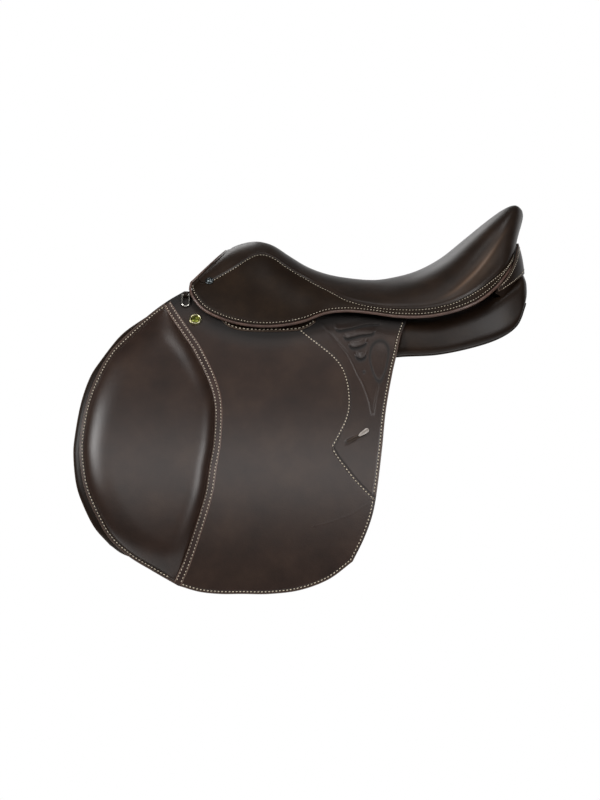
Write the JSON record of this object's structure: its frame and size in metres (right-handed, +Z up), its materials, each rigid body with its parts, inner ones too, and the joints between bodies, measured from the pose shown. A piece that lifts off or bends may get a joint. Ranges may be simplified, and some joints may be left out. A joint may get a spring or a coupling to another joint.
{
  "type": "jumping saddle",
  "caption": "Close-contact jumping saddle with forward flaps that lift, puffed knee pads, skirts over stirrup bars, panel cushions, girth billets and dee rings.",
  "frame": {"origin": "on the line of the horse's back, midway between the panels, under the deepest point of the seat", "axes": "+X to the cantle, so the front faces -X; -Y is the near (left) side; +Z up"},
  "size_m": [0.6118, 0.4864, 0.5081],
  "materials": {
    "leather": "smooth semi-gloss havana leather",
    "dark_leather": "smooth dark leather",
    "piping_leather": "thin reddish-brown leather over cord",
    "tree_wood": "laminated beech",
    "steel": "forged steel",
    "nickel": "nickel plate",
    "brass": "polished brass",
    "web": "woven linen web",
    "foam": "upholstery foam"
  },
  "bodies": {
    "saddle": {"tree": "tree_wood", "head_plate": "steel", "cantle_plate": "steel", "tree_springs": "steel", "tree_rivets": "steel", "channel_lining": "dark_leather", "seat_webs": "web", "girth_webs": "web", "seat_foam": "foam", "cantle_roll": "foam", "seat_cover": "leather", "seat_side_left": "leather", "seat_side_right": "leather", "seat_piping_left": "piping_leather", "seat_piping_right": "piping_leather", "pommel_facing": "dark_leather", "rear_facing": "dark_leather", "pommel_nails": "brass", "dee_chape_left": "dark_leather", "dee_chape_right": "dark_leather", "stirrup_bar_left": "steel", "stirrup_bar_right": "steel", "bar_rivets": "steel", "panel_left": "dark_leather", "panel_right": "dark_leather", "sweat_flap_left": "dark_leather", "sweat_flap_right": "dark_leather", "flap_head_left": "leather", "flap_head_right": "leather", "flap_studs": "brass", "under_skirt_left": "dark_leather", "under_skirt_right": "dark_leather"},
    "flap_left": {"flap_left": "leather", "knee_pad_left": "leather", "flap_strip_left": "piping_leather", "flap_panel_left": "leather", "rear_panel_left": "dark_leather", "keeper_left": "dark_leather"},
    "skirt_left": {"skirt_left": "leather", "skirt_piping_left": "piping_leather"},
    "dee_left": {"dee_left": "nickel"},
    "catch_left": {"bar_catch_left": "steel"},
    "billet_front_left": {"billet_front_left": "dark_leather"},
    "billet_mid_left": {"billet_mid_left": "dark_leather"},
    "billet_rear_left": {"billet_rear_left": "dark_leather"},
    "guard_left": {"buckle_guard_left": "dark_leather"},
    "flap_right": {"flap_right": "leather", "knee_pad_right": "leather", "flap_strip_right": "piping_leather", "flap_panel_right": "leather", "rear_panel_right": "dark_leather", "keeper_right": "dark_leather"},
    "skirt_right": {"skirt_right": "leather", "skirt_piping_right": "piping_leather"},
    "dee_right": {"dee_right": "nickel"},
    "catch_right": {"bar_catch_right": "steel"},
    "billet_front_right": {"billet_front_right": "dark_leather"},
    "billet_mid_right": {"billet_mid_right": "dark_leather"},
    "billet_rear_right": {"billet_rear_right": "dark_leather"},
    "guard_right": {"buckle_guard_right": "dark_leather"}
  },
  "joints": [
    {"name": "flap_left_lift", "type": "hinge", "parent": "saddle", "child": "flap_left", "pos_m": [-0.155, -0.12322, 0.0262], "axis": [-1, 0, 0], "range_deg": [0, 75]},
    {"name": "skirt_left_lift", "type": "hinge", "parent": "saddle", "child": "skirt_left", "pos_m": [-0.15, -0.114, 0.0735], "axis": [-0.9817, 0.1416, 0.1274], "range_deg": [0, 40]},
    {"name": "dee_left_swing", "type": "hinge", "parent": "saddle", "child": "dee_left", "pos_m": [-0.261, -0.08601, 0.081], "axis": [-1, 0, 0], "range_deg": [0, 50]},
    {"name": "catch_left_turn", "type": "hinge", "parent": "saddle", "child": "catch_left", "pos_m": [-0.129, -0.097, 0.069], "axis": [0, -1, 0], "range_deg": [0, 35]},
    {"name": "billet_mid_left_swing", "type": "hinge", "parent": "saddle", "child": "billet_mid_left", "pos_m": [-0.06919, -0.09941, 0.038], "axis": [0, 1, 0], "range_deg": [-2, 2]},
    {"name": "billet_front_left_swing", "type": "hinge", "parent": "saddle", "child": "billet_front_left", "pos_m": [-0.10712, -0.09941, 0.038], "axis": [0, 1, 0], "range_deg": [-2, 2]},
    {"name": "billet_rear_left_swing", "type": "hinge", "parent": "saddle", "child": "billet_rear_left", "pos_m": [-0.03254, -0.09941, 0.038], "axis": [0, 1, 0], "range_deg": [-2, 2]},
    {"name": "guard_left_slide", "type": "slide", "parent": "billet_mid_left", "child": "guard_left", "axis": [0, -0.4847, -0.8747], "range_m": [-0.006, 0.012]},
    {"name": "flap_right_lift", "type": "hinge", "parent": "saddle", "child": "flap_right", "pos_m": [-0.155, 0.12322, 0.0262], "axis": [1, 0, 0], "range_deg": [0, 75]},
    {"name": "skirt_right_lift", "type": "hinge", "parent": "saddle", "child": "skirt_right", "pos_m": [-0.15, 0.114, 0.0735], "axis": [0.9817, 0.1416, -0.1274], "range_deg": [0, 40]},
    {"name": "dee_right_swing", "type": "hinge", "parent": "saddle", "child": "dee_right", "pos_m": [-0.261, 0.08601, 0.081], "axis": [1, 0, 0], "range_deg": [0, 50]},
    {"name": "catch_right_turn", "type": "hinge", "parent": "saddle", "child": "catch_right", "pos_m": [-0.129, 0.097, 0.069], "axis": [0, -1, 0], "range_deg": [0, 35]},
    {"name": "billet_mid_right_swing", "type": "hinge", "parent": "saddle", "child": "billet_mid_right", "pos_m": [-0.06919, 0.09941, 0.038], "axis": [0, 1, 0], "range_deg": [-2, 2]},
    {"name": "billet_front_right_swing", "type": "hinge", "parent": "saddle", "child": "billet_front_right", "pos_m": [-0.10712, 0.09941, 0.038], "axis": [0, 1, 0], "range_deg": [-2, 2]},
    {"name": "billet_rear_right_swing", "type": "hinge", "parent": "saddle", "child": "billet_rear_right", "pos_m": [-0.03254, 0.09941, 0.038], "axis": [0, 1, 0], "range_deg": [-2, 2]},
    {"name": "guard_right_slide", "type": "slide", "parent": "billet_mid_right", "child": "guard_right", "axis": [0, 0.4847, -0.8747], "range_m": [-0.006, 0.012]}
  ],
  "couplings": [
    {"joint": "billet_front_left_swing", "follows": "billet_mid_left_swing", "ratio": 1},
    {"joint": "billet_rear_left_swing", "follows": "billet_mid_left_swing", "ratio": 1},
    {"joint": "billet_front_right_swing", "follows": "billet_mid_right_swing", "ratio": 1},
    {"joint": "billet_rear_right_swing", "follows": "billet_mid_right_swing", "ratio": 1}
  ]
}
